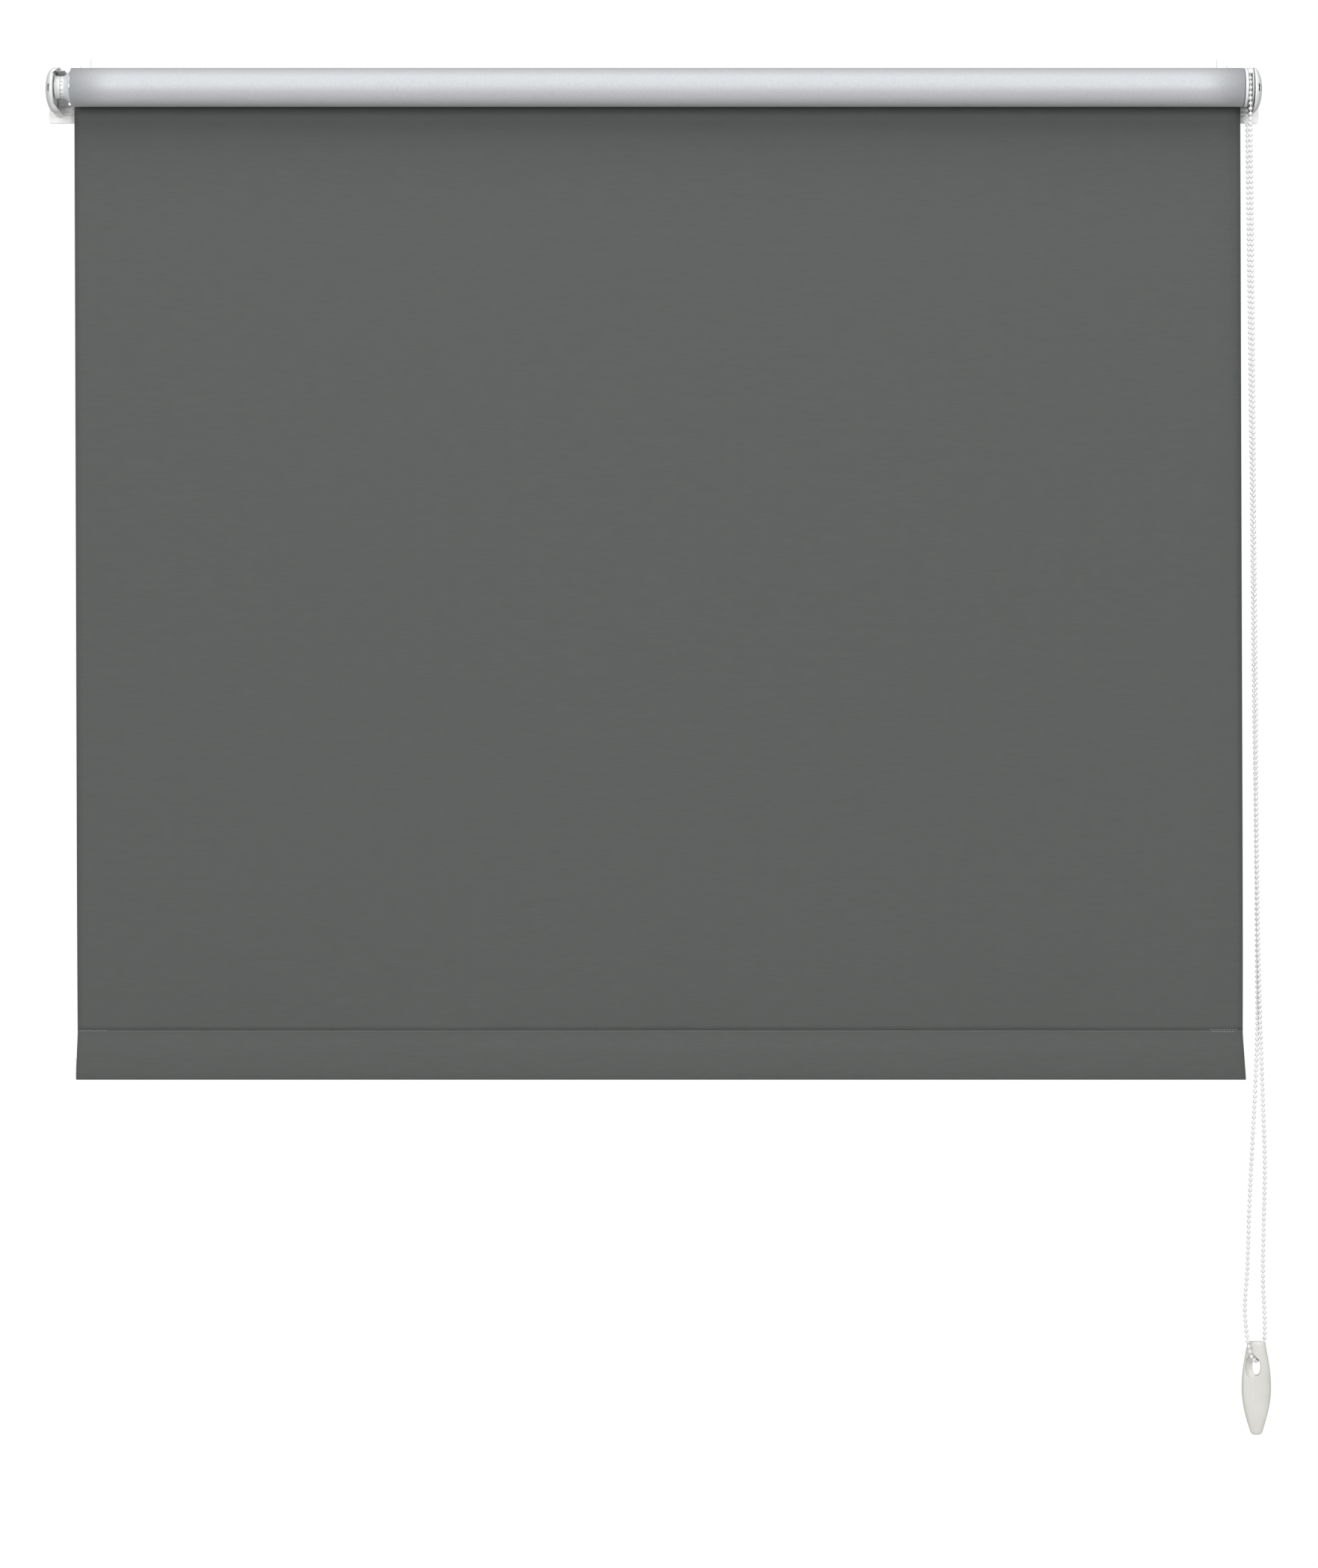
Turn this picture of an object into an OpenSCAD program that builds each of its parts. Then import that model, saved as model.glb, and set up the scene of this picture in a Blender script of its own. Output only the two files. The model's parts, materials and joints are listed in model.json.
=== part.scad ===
// Chain operated roller blind with a fabric hem pocket, two side brackets and clip-on covers.
// +X runs to the chain side, +Z is up and the room is on -Y: the wall is the plane y = 0.
// The origin is the centre of the four wall screw holes. All sizes are in millimetres.

/* [Overall] */
// Width over the two bracket covers
overall_w = 1400; // [700:10:2400]
// Height from the roller's axis down to the bottom of the hem
drop_h = 1145; // [500:5:1400]
// Gap between the wall and the fabric wound on the tube
wall_gap = 10.6; // [9:0.1:30]
// How far the roller's axis sits below the screw pattern's centre
axis_down = 1.4; // [0:0.1:4]

/* [Fabric] */
// Gap from the idle side cover's outer face to the fabric
idle_gap = 29; // [28.5:0.5:45]
// Gap from the chain wheel's flange to the fabric
chain_gap = 0.9; // [0.5:0.1:6]
// Thickness of the coated fabric
fabric_t = 0.45; // [0.25:0.05:0.7]
// Thickness of the fabric wound on the tube
wound_t = 3.25; // [1:0.05:4]
// Air between the roll and the hanging fabric
roll_clear = 0.2; // [0.1:0.1:1]

/* [Hem] */
// Height of the sewn hem pocket
hem_h = 57; // [45:1:90]
// Height of the oval bar in the hem
bar_h = 24; // [15:1:30]
// Thickness of the oval bar in the hem
bar_t = 4; // [2:0.5:6]
// Slack between the bar and the pocket's cloth
bar_clear = 0.15; // [0.1:0.05:0.5]
// Length of each plastic cap on the bar
bar_cap_l = 8; // [4:1:20]
// How far each cap sits inside the pocket's mouth
bar_inset = 1.5; // [0.5:0.5:10]

/* [Tube] */
// Outer diameter of the roller tube
tube_d = 38; // [32:0.5:46]
// Wall of the roller tube
tube_t = 1; // [0.6:0.1:1.6]
// Tube left bare beyond the fabric on the idle side
tube_bare = 1.1; // [0:0.1:10]
// Thickness of the adhesive tape under the first wrap
tape_t = 0.15; // [0.1:0.05:0.3]

/* [Brackets] */
// Width of the wall plate
plate_w = 48; // [44:1:70]
// Height of the wall plate
plate_h = 76; // [70:1:110]
// Thickness of the wall plate
plate_t = 2.6; // [2:0.1:4]
// Corner radius of the wall plate
plate_r = 2.6; // [1:0.1:6]
// How far the plate reaches past the cover's outer face
plate_out = 1; // [0:0.5:4]
// Height of the raised pad around the screw holes
pad_t = 2.4; // [1.5:0.1:2.8]
// Distance between the two screw holes in a plate
hole_gap = 30; // [24:1:40]
// Radius of a screw hole
hole_r = 2.3; // [1.8:0.1:2.6]
// Radius of the countersink at the pad's face
sink_r = 4.4; // [3.6:0.1:5]
// Thickness of the bracket's arm
arm_t = 3.2; // [2.5:0.1:5]
// Radius of the arm's round front
arm_r = 20; // [16:0.5:20.5]
// Radius of the cover's round front
cover_r = 26; // [25.5:0.5:30]
// Wall of the clip-on cover
cover_t = 1.6; // [1.2:0.1:2.2]
// Depth of the domed cover
rim_w = 10; // [9:0.5:12]
// Reach of the idle cover's two ears past its rim
ear_w = 6; // [3:0.5:6]

/* [Idle end] */
// Diameter of the sprung pin
pin_d = 8; // [6:0.2:10]
// Travel of the sprung pin
pin_travel = 5; // [4:0.5:6]
// Radial clearance of the pin in its bores
pin_clear = 0.06; // [0.02:0.01:0.1]
// Diameter of the idle flange
idle_d = 26.6; // [24:0.2:30]
// Depth of the idle flange
idle_flange_w = 6.3; // [5:0.1:8]
// Notches in the adjuster ring
ring_notches = 16; // [8:1:24]

/* [Clutch] */
// Pockets for beads round the chain wheel
wheel_pockets = 18; // [18]
// Diameter of the fixed hub
hub_d = 14; // [12:0.2:17]
// Radial clearance between the hub and the chain wheel
hub_clear = 0.06; // [0.02:0.01:0.1]
// Diameter of the chain wheel's flange
flange_d = 44; // [43:0.5:45]
// Wall of the chain guard
guard_t = 1.8; // [1.2:0.1:2.4]
// Wire of the wrap springs
wrap_wire = 1.2; // [0.8:0.1:1.3]

/* [Chain and handle] */
// Diameter of a bead
bead_d = 4.5; // [3.6:0.1:5.4]
// Distance from bead to bead
bead_pitch = 6; // [6]
// Length of the handle
handle_l = 107.5; // [90:0.5:130]
// Width of the handle at its middle
handle_w = 33.6; // [30:0.2:40]
// Thickness of the handle at its middle
handle_t = 14; // [12:0.5:20]
// Width of the eye that the chain runs through
eye_w = 11; // [10.5:0.5:13]
// Height of the eye
eye_h = 19; // [17:0.5:24]

/* [Hidden] */

round_fn = 96; // facets of a large round
small_fn = 48; // facets of a small round
cut = 1;       // how far a cutting shape runs past what it cuts

half_w = overall_w / 2;
tube_r = tube_d / 2;
roll_r = tube_r + tape_t + wound_t;
axis_out = wall_gap + roll_r;             // the roller's axis from the wall
bead_r = bead_d / 2;
groove_w = bead_d + 0.5;                  // the chain's groove in the wheel
flange_w = 3.1;
cheek_t = 1.4;                            // the guard's cheek beside the chain
cheek_gap = 0.2;
rim_gap = 0.4;                            // between the guard and the cover's rim
cheek_x1 = half_w - rim_w - rim_gap;
cheek_x0 = cheek_x1 - cheek_t;
wheel_x1 = cheek_x0 - cheek_gap;
wheel_x0 = wheel_x1 - groove_w;
tube_in_r = tube_r - tube_t;

// Fabric: it leaves the back of the roll and hangs from there.
fabric_x0 = -half_w + idle_gap;
fabric_x1 = wheel_x0 - flange_w - chain_gap;
fabric_w = fabric_x1 - fabric_x0;
drop_y = -axis_out + roll_r + roll_clear; // room side of the hanging fabric
hem_top_z = -axis_down - drop_h + hem_h;
hem_mid_y = drop_y + fabric_t;            // between the pocket's two layers
bar_mid = hem_h - fabric_t - bar_clear - bar_h / 2; // depth of the bar's middle below the seam

// Brackets, drawn for the idle side and mirrored for the chain side.
plate_x0 = -half_w - plate_out;
hole_x = plate_x0 + plate_w / 2;
pad_w = 25;
pad_top = 28.5;
pad_bottom = -29;
pad_face = plate_t + pad_t;
arm_x0 = -half_w + 5.4;                   // the arm's outer face, touched by the cover
arm_x1 = arm_x0 + arm_t;
arm_drop = 4.7;                           // the arm's middle below the plate's middle
arm_mid = [-axis_out - 2, -arm_drop];     // centre of the arm's round front
cover_in_r = cover_r - cover_t;
rim_clear = 0.2;                          // between the cover and what stands next to it
cover_back = -plate_t - rim_clear;
ear_in = 17.5;                            // an ear's slanted edge, from the cover's middle
ear_out = 24.5;
// Openings in the cover's front: inset from its outer face, width, depth, foot and height.
cover_openings = [[4.3, 3, 10, -9.4, 8.6],     // clip window
                  [1.6, 0.8, 12.5, -9.4, 8.6], // release slot
                  [2.9, 0.6, 8, -18.4, 7.6]];  // finger groove
dome_step = 8;                            // degrees from layer to layer of the dome
dome_end = 80;                            // where its flat outer face starts
shelf_z = 18;                             // shelf over the idle end
shelf_w = 10;
shelf_y = -30;
ledge_t = 1.5;                            // ledges under the roller, for a fascia's clips
ledge_out = 2.5;                          // how far they stand out of the pad
ledge_z = [-22.5, pad_bottom];
ledge_past = 3;                           // their reach past the screw holes
ledge_x0 = -half_w + rim_w + rim_clear;   // they start clear of the cover's rim
boss_w = 1;                               // boss round the bore in the arm
web_t = 2;                                // webs that stiffen the arm where it leaves the plate
web_w = boss_w;
seat_t = 3;                               // pads in the cover that touch the arm
seat_w = 12;
seat_x0 = -half_w + 2.8;
seat_z = [-14, 12];

// Idle end, from the arm inwards.
pin_r = pin_d / 2;
bore_r = pin_r + pin_clear;
flange_x0 = arm_x1 + boss_w + 0.8;
flange_x1 = flange_x0 + idle_flange_w;
ring_x0 = flange_x1 + 0.5;
ring_x1 = ring_x0 + 3.9;
collar_x0 = ring_x1 + 0.1;
tube_x0 = fabric_x0 - tube_bare;
tube_x1 = fabric_x1 - 1;
neck_r = 8;
plug_l = 34;
plug_x1 = tube_x0 + plug_l;
well_r = 7.5;                             // the spring's well in the plug
well_x0 = tube_x0 + 6;
well_x1 = plug_x1 - 2;
pin_x0 = arm_x0 + 0.2;
pin_x1 = well_x1 - 13;
head_x0 = well_x0 + 0.3;                  // the pin's collar, which the spring presses on
head_x1 = head_x0 + 2;

// Clutch end, from the arm inwards.
wheel_r = bead_pitch / 2 / sin(180 / wheel_pockets); // radius of the beads' centres
wheel_x = wheel_x1 - groove_w / 2;        // middle of the chain's groove
hub_r = hub_d / 2;
claw = 12;                                // side of the hub's square plug
claw_clear = 0.1;
guard_r = flange_d / 2 + 0.2;
guard_from = 42;                          // where the guard starts above level, room side
guard_sweep = 138;
barrel_r = 13;
barrel_x0 = wheel_x0 - 28;
core_r = 11;
core_x0 = barrel_x0 - 4;
gap = 0.3;                                // running gap between parts that don't bear
skin_t = 1.7;                             // wall of the adaptor round the clutch
hub_x0 = core_x0 - 7;
hub_x1 = -arm_x1 - boss_w;                // the hub's shoulder meets the bracket's boss
clip_x0 = core_x0 - 3.2;                  // groove for the clip that keeps the clutch on the hub
clip_w = 1.2;
clip_in = 1.4;                            // the groove's depth
wrap_w = 7;                               // length of each wrap spring
wrap_turns = 5;
wrap_steps = 24;                          // straight pieces in a turn of wrap wire
wrap_clear = 0.15;                        // the wire's straight pieces dip towards the hub
wheel_step = 10;                          // degrees between the route's points on the chain wheel
chain_seat = 0.1;                         // slack under the chain in its groove

// The chain's route from the chain wheel's centre: down the room side, through the handle's eye
// and up the wall side. It leaves the wheel in front and behind, and turns a quarter on its way.
wheel_mid = [wheel_x, -axis_out, -axis_down];
route_down = [[0, -17, -30], [1.5, -15.5, -150], [3, -14, -300], [5, -11, -500],
              [7, -8.5, -680], [8.5, -6, -850], [11, -3.5, -1000], [14, -2, -1100],
              [17, 0, -1180], [19, 1.5, -1240], [18, 3, -1310], [17.5, 5, -1380],
              [19.5, 6.5, -1420], [19.5, 8.5, -1443], [18, 9.5, -1454], [15.5, 9, -1462]];
route_eye = [[13, 6.5, -1465], [10.5, 3, -1467], [9, 0, -1467.5], [7.5, -3, -1467],
             [5, -6.5, -1465]];
route_up = [[2.5, -9, -1462], [0.5, -9.5, -1456], [-1.5, -9, -1446], [-5, -7.5, -1414],
            [-2, -6, -1360], [0, -4, -1300], [3, -2, -1240], [7.5, 0, -1160], [10, 1, -1100],
            [10, 2.5, -1000], [9, 4.5, -850], [7, 7, -680], [5.5, 9.5, -500],
            [3.5, 12.5, -300], [2, 15, -150], [0.5, 17, -30]];
route_wheel = [for (a = [180:-wheel_step:0]) [0, -wheel_r * cos(a), wheel_r * sin(a)]];
route = concat(route_down, route_eye, route_up, route_wheel);

// Handle, drawn with its top at the origin.
eye_rest = route_eye[2];                  // where the chain carries the handle
eye_top = 19.6;                           // from the handle's top to the eye's top edge
eye_slack = 0.95;                         // air over the chain in the eye
handle_at = wheel_mid + eye_rest + [0, 0, eye_top + bead_r + eye_slack];
handle_top_w = 17;
handle_end_w = 11;
handle_edge = 0.62;                       // thickness at the two ends, as a share of the middle's
scoop_r = 11.8;                           // scoops that lead the chain into and out of the eye
scoop_at = [5.5, 9.5, -28];

// ---- shapes that are used more than once ----

// Extrudes a (y, z) outline along X.
module along_x(x0, x1) {
    translate([x0, 0, 0]) rotate([90, 0, 90]) linear_extrude(x1 - x0) children();
}

// A solid round on the roller's axis.
module disc(x0, x1, r, fn = round_fn) {
    translate([x0, -axis_out, -axis_down]) rotate([0, 90, 0]) cylinder(r = r, h = x1 - x0, $fn = fn);
}

// A ring on the roller's axis.
module ring(x0, x1, r, inner, fn = round_fn) {
    difference() {
        disc(x0, x1, r, fn);
        disc(x0 - cut, x1 + cut, inner, fn);
    }
}

// Part of a ring: from is measured above level on the room side.
module ring_part(x0, x1, r, inner, from, sweep) {
    translate([x0, -axis_out, -axis_down]) rotate([90, 0, 90]) rotate(180 - from - sweep)
        rotate_extrude(angle = sweep, $fn = round_fn) translate([inner, 0]) square([r - inner, x1 - x0]);
}

function unit(v) = v / norm(v);

// A round wire swept along points, closed on itself or capped.
module wire(points, r, sides = 8, closed = false) {
    n = len(points);
    rings = [for (i = [0:n - 1])
        let (before = closed ? points[(i + n - 1) % n] : points[max(i - 1, 0)],
             after = closed ? points[(i + 1) % n] : points[min(i + 1, n - 1)],
             t = unit(after - before),
             u = unit(cross(t, [1, 0, 0])),
             v = cross(u, t))
        for (k = [0:sides - 1]) points[i] + r * (cos(360 * k / sides) * u + sin(360 * k / sides) * v)];
    last = closed ? n - 1 : n - 2;
    skin = [for (i = [0:last], k = [0:sides - 1])
        let (j = (i + 1) % n, m = (k + 1) % sides)
        [i * sides + k, i * sides + m, j * sides + m, j * sides + k]];
    caps = closed ? [] : [[for (k = [sides - 1:-1:0]) k], [for (k = [0:sides - 1]) (n - 1) * sides + k]];
    polyhedron(rings, faces = concat(skin, caps), convexity = 10);
}

// A coil spring on the roller's axis.
module coil(x0, x1, mean_r, wire_r, turns, steps = 16) {
    n = turns * steps;
    wire([for (i = [0:n]) [x0 + wire_r + (x1 - x0 - 2 * wire_r) * i / n,
                           -axis_out + mean_r * cos(360 * i / steps),
                           -axis_down + mean_r * sin(360 * i / steps)]], wire_r, 8);
}

// The D of an arm or a cover: a round front and straight sides back to y = back.
module d_outline(r, back) {
    translate(arm_mid) circle(r = r, $fn = round_fn);
    translate([arm_mid[0], arm_mid[1] - r]) square([back - arm_mid[0], 2 * r]);
}

// ---- brackets ----

// A wall plate with its pad, ledges and arm, on the idle side.
module bracket_body() {
    difference() {
        union() {
            translate([plate_x0, 0, -plate_h / 2]) rotate([90, 0, 0]) linear_extrude(plate_t)
                translate([plate_r, plate_r]) rounded_plate();
            translate([hole_x - pad_w / 2, -pad_face, pad_bottom])
                cube([pad_w, pad_face - plate_t / 2, pad_top - pad_bottom]);
            for (z = ledge_z) translate([ledge_x0, -pad_face - ledge_out, z])
                cube([hole_x + ledge_past - ledge_x0, pad_face + ledge_out - plate_t / 2, ledge_t]);
            along_x(arm_x0, arm_x1) d_outline(arm_r, -plate_t / 2);
            translate([arm_x1 - arm_t / 2, -axis_out / 2, -arm_drop + 10])
                cube([arm_t / 2 + web_w, axis_out / 2 - plate_t / 2, web_t]);
            translate([arm_x1 - arm_t / 2, -axis_out / 3, -arm_drop - 18])
                cube([arm_t / 2 + web_w, axis_out / 3 - plate_t / 2, web_t]);
            disc(arm_x1 - arm_t / 2, arm_x1 + boss_w, neck_r, small_fn);
        }
        for (side = [-1, 1]) translate([hole_x, cut, side * hole_gap / 2]) rotate([90, 0, 0]) {
            cylinder(r = hole_r, h = pad_face + 2 * cut, $fn = small_fn);
            translate([0, 0, pad_face + cut - (sink_r - hole_r)])
                cylinder(r1 = hole_r, r2 = sink_r, h = sink_r - hole_r + 0.01, $fn = small_fn);
        }
    }
}

module rounded_plate() {
    w = plate_w - 2 * plate_r;
    h = plate_h - 2 * plate_r;
    translate([-plate_r, 0]) square([plate_w, h]);
    translate([0, -plate_r]) square([w, plate_h]);
    for (x = [0, w], y = [0, h]) translate([x, y]) circle(r = plate_r, $fn = small_fn);
}

module left_bracket() color("#F4F4F3") difference() {
    union() {
        bracket_body();
        translate([ledge_x0, shelf_y, shelf_z]) cube([shelf_w, -shelf_y - plate_t / 2, ledge_t]);
    }
    disc(arm_x0 - cut, arm_x1 + boss_w + cut, bore_r, small_fn);
}

// The chain side takes the hub's square plug.
module right_bracket() color("#F4F4F3") difference() {
    mirror([1, 0, 0]) bracket_body();
    translate([hub_x1 - cut, -axis_out - claw / 2 - claw_clear, -axis_down - claw / 2 - claw_clear])
        cube([arm_t + boss_w + 2 * cut, claw + 2 * claw_clear, claw + 2 * claw_clear]);
}

// A dome over the D: its outline shrinks from the open side to the outer face as an ellipse.
// past carries its full outline on beyond the open side.
module dome(r, depth, back, past) {
    layers = concat(past > 0 ? [[past, 1]] : [],
                    [for (a = [0:dome_step:dome_end]) [-depth * sin(a) / sin(dome_end), cos(a)]]);
    n = 27; // points round the D
    points = [for (l = layers) let (x = -half_w + rim_w + l[0]) each concat(
        [for (b = [90:-7.5:-90]) [x, arm_mid[0] - r * l[1] * cos(b), arm_mid[1] + r * l[1] * sin(b)]],
        [for (side = [-1, 1]) [x, back, arm_mid[1] + side * r * l[1]]])];
    last = len(points) - n;
    polyhedron(points, convexity = 4, faces = concat(
        [[for (k = [n - 1:-1:0]) k], [for (k = [0:n - 1]) last + k]],
        [for (i = [0:n:last - n], k = [0:n - 1]) let (m = (k + 1) % n) each
            [[i + k, i + m, i + k + n], [i + m, i + m + n, i + k + n]]]));
}

// The cover: a dome with an open back and inner side, and openings in its front. The upper and
// lower walls may reach on past the rim as two ears.
module cover_body(ear) difference() {
    dome(cover_r, rim_w, cover_back, ear);
    dome(cover_in_r, rim_w - cover_t, cut, ear + cut);
    for (o = cover_openings) translate([-half_w + o[0], arm_mid[0] - cover_r - cut, o[3]])
        cube([o[1], o[2] + cut, o[4]]);
    if (ear > 0) translate([-half_w + rim_w, 0, arm_mid[1]]) {
        rotate([90, 0, 0]) linear_extrude(-arm_mid[0] + cover_r + cut)
            polygon([[0, -ear_in], [ear, -ear_out], [ear + cut, -ear_out],
                     [ear + cut, ear_out], [ear, ear_out], [0, ear_in]]);
        translate([0, -pad_face - rim_clear, -cover_r - cut])
            cube([ear + cut, pad_face + cut, 2 * (cover_r + cut)]);
    }
}

// Pads inside the cover's wall that seat on the arm.
module cover_seats() {
    for (z = seat_z) translate([seat_x0, arm_mid[0] - seat_w / 3, arm_mid[1] + z])
        cube([arm_x0 - seat_x0, seat_w, seat_t]);
}

module left_cover() color("#F8F8F8") {
    cover_body(ear_w);
    cover_seats();
}

module right_cover() color("#F8F8F8") mirror([1, 0, 0]) {
    cover_body(0);
    cover_seats();
}

// ---- tube and fabric ----

module tube() color("#B9BCC0") ring(tube_x0, tube_x1, tube_r, tube_in_r);

module fixing_tape() color("#E8E4D0")
    ring_part(fabric_x0 + 5, tube_x1 - 5, tube_r + tape_t, tube_r, 20, 45);

module fabric_roll() color("#C9CBCE") ring(fabric_x0, fabric_x1, roll_r, tube_r + tape_t);

module fabric_drop() color("#5F6361")
    translate([fabric_x0, drop_y, hem_top_z]) cube([fabric_w, fabric_t, -axis_down - hem_top_z]);

// The pocket's outline in (y, z): it eases out from the seam to the bar's middle, and goes round
// the bar's lower half as an ellipse. A wall of fabric_t gives the outer skin, 0 the space inside.
function ease(t) = t * t * (3 - 2 * t);
function mirrored(p) = [for (i = [len(p) - 1:-1:0]) [-p[i][0], p[i][1]]];
function pocket_side(wall, from) = [for (i = [from:15])
    [wall + (bar_t / 2 + bar_clear) * ease(i / 16), -bar_mid * i / 16]];
function pocket_bottom(r) = [for (a = [0:10:180])
    [(bar_t / 2 + r) * cos(a), -bar_mid - (bar_h / 2 + r) * sin(a)]];
function pocket_outline(wall, from) = let (side = pocket_side(wall, from))
    concat(side, pocket_bottom(bar_clear + wall), mirrored(side));

module hem_section(x0, x1) translate([0, hem_mid_y, hem_top_z]) along_x(x0, x1) children();

module hem_pocket() color("#5F6361") difference() {
    hem_section(fabric_x0, fabric_x1) polygon(pocket_outline(fabric_t, 0));
    hem_section(fabric_x0 - cut, fabric_x1 + cut) polygon(pocket_outline(0, 1));
}

module bar_outline() translate([0, -bar_mid])
    polygon([for (a = [0:10:350]) [bar_t / 2 * cos(a), bar_h / 2 * sin(a)]]);

cap_x0 = fabric_x0 + bar_inset;
cap_x1 = fabric_x1 - bar_inset;

module hem_bar() color("#AEB1B5")
    hem_section(cap_x0 + bar_cap_l, cap_x1 - bar_cap_l) bar_outline();

module hem_bar_caps() color("#F0F0EF") for (x = [cap_x0, cap_x1 - bar_cap_l])
    hem_section(x, x + bar_cap_l) bar_outline();

// ---- idle end ----

module idle_pin() color("#C8CACC") {
    disc(pin_x0 + 0.8, pin_x1, pin_r, small_fn);
    translate([pin_x0, -axis_out, -axis_down]) rotate([0, 90, 0])
        cylinder(r1 = pin_r - 0.8, r2 = pin_r, h = 0.81, $fn = small_fn);
    disc(head_x0, head_x1, well_r - gap, small_fn);
}

module idle_pin_spring() color("#9A9DA0") coil(head_x1 + 0.1, well_x1 - 0.1, 6, 0.5, 7);

module idle_plug() color("#D9DADB") difference() {
    union() {
        disc(flange_x1, plug_x1, neck_r, small_fn);
        disc(tube_x0, plug_x1, tube_in_r - 2.5);
        // ribs that grip the tube
        intersection() {
            disc(tube_x0, plug_x1, tube_in_r);
            for (a = [0:30:150]) translate([tube_x0, -axis_out, -axis_down]) rotate([a, 0, 0])
                translate([0, -tube_in_r, -1.25]) cube([plug_l, 2 * tube_in_r, 2.5]);
        }
    }
    disc(flange_x1 - cut, well_x0 + cut, bore_r, small_fn);
    disc(well_x0, well_x1, well_r, small_fn);
}

module idle_flange() color("#F6F6F5") difference() {
    union() {
        disc(flange_x0, flange_x1 - 1.6, idle_d / 2);
        disc(flange_x1 - 1.7, flange_x1, idle_d / 2 - 0.8);
    }
    disc(flange_x0 - cut, flange_x1 + cut, bore_r, small_fn);
}

// The ring is notched round its rim like a castle wall.
module idle_adjuster_ring() color("#F2F2F1") difference() {
    ring(ring_x0, ring_x1, 12.9, neck_r);
    for (i = [0:ring_notches - 1]) translate([ring_x0 - cut, -axis_out, -axis_down])
        rotate([i * 360 / ring_notches, 0, 0]) translate([0, -0.9, 11.2]) cube([3 + cut, 1.8, 5]);
}

module idle_collar() color("#A9ACAF") difference() {
    translate([collar_x0, -axis_out, -axis_down]) rotate([0, 90, 0])
        cylinder(r1 = 13.4, r2 = tube_r - 0.4, h = tube_x0 - collar_x0, $fn = round_fn);
    disc(collar_x0 - cut, tube_x0 + cut, neck_r, small_fn);
}

// ---- clutch end ----

module clutch_hub() color("#ECECEA") {
    difference() {
        disc(hub_x0, hub_x1, hub_r, small_fn);
        ring(clip_x0, clip_x0 + clip_w, hub_r + cut, hub_r - clip_in, small_fn);
    }
    disc(cheek_x1, hub_x1, claw, small_fn);
    translate([(cheek_x1 + hub_x1) / 2, -axis_out - claw / 2, -axis_down - claw / 2])
        cube([(hub_x1 - cheek_x1) / 2 + boss_w + arm_t - gap, claw, claw]);
}

// The guard's cheek stands beside the chain, and its arch covers the chain over the top.
module clutch_guard() color("#F4F4F3") {
    ring(cheek_x0, cheek_x1, guard_r, hub_r);
    ring_part(wheel_x0 + gap, cheek_x1, guard_r, guard_r - guard_t, guard_from, guard_sweep);
}

module chain_wheel() color("#F0F0EE") difference() {
    union() {
        disc(wheel_x0 - flange_w, wheel_x0, flange_d / 2);
        disc(wheel_x0 - 0.1, wheel_x1, wheel_r * cos(wheel_step / 2) - bead_r - chain_seat);
        ring(barrel_x0, wheel_x0, barrel_r, core_r + gap);
    }
    disc(wheel_x0 - flange_w - cut, wheel_x1 + cut, hub_r + hub_clear, small_fn);
    for (i = [0:wheel_pockets - 1]) translate([wheel_x0, -axis_out, -axis_down])
        rotate([i * 360 / wheel_pockets, 0, 0]) translate([0, 0, wheel_r]) rotate([0, 90, 0])
            cylinder(r = bead_r + gap, h = groove_w + cut, $fn = 24);
}

module clutch_springs() color("#8E9194") for (i = [0:2]) let (x0 = barrel_x0 + 1 + i * (wrap_w + 0.6))
    coil(x0, x0 + wrap_w, hub_r + wrap_clear + wrap_wire / 2, wrap_wire / 2, wrap_turns, wrap_steps);

module clutch_core() color("#E2E3E4") {
    ring(barrel_x0, wheel_x0 - flange_w - gap, core_r, hub_r + wrap_wire + 0.5, small_fn);
    ring(core_x0, barrel_x0 + 0.1, core_r, hub_r + hub_clear, small_fn);
}

module clutch_adaptor() color("#D9DADB") {
    ring(core_x0, barrel_x0 - gap, barrel_r + skin_t, core_r);
    ring(barrel_x0 - gap - 0.1, tube_x1, barrel_r + skin_t, barrel_r + gap);
    // ribs that drive the tube
    difference() {
        intersection() {
            disc(core_x0, tube_x1, tube_in_r);
            for (a = [0:36:144]) translate([core_x0, -axis_out, -axis_down]) rotate([a, 0, 0])
                translate([0, -tube_in_r, -1.5]) cube([tube_x1 - core_x0, 2 * tube_in_r, 3]);
        }
        disc(core_x0 - cut, tube_x1 + cut, barrel_r + skin_t - 0.1);
    }
}

// An open ring that snaps into the hub's groove.
module hub_clip() color("#8E9194")
    ring_part(clip_x0 + 0.1, clip_x0 + clip_w - 0.1, hub_r + 2.6, hub_r - clip_in + 0.05, 300, 300);

// ---- chain and handle ----

module bead_chain() color("#F2F2F2")
    wire([for (p = route) wheel_mid + p], bead_r, 10, closed = true);

// Half the handle's width at a depth below its top: two arcs that meet at the widest place.
function bow(d, w0, w1, at) = w0 + (w1 - w0) * sin(90 * d / at);
function handle_half(d) = d < handle_l / 2
    ? bow(d, handle_top_w / 2, handle_w / 2, handle_l / 2)
    : bow(handle_l - d, handle_end_w / 2, handle_w / 2, handle_l / 2);

module handle_outline() {
    steps = 24;
    right = [for (i = [0:steps]) [handle_half(handle_l * i / steps), -handle_l * i / steps]];
    polygon(concat(right, mirrored(right)));
}

module handle_side() {
    steps = 16;
    side = [for (i = [0:steps]) let (d = handle_l * i / steps)
        [handle_t / 2 * (handle_edge + (1 - handle_edge) * sin(180 * i / steps)), -d]];
    polygon(concat(side, mirrored(side)));
}

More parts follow.
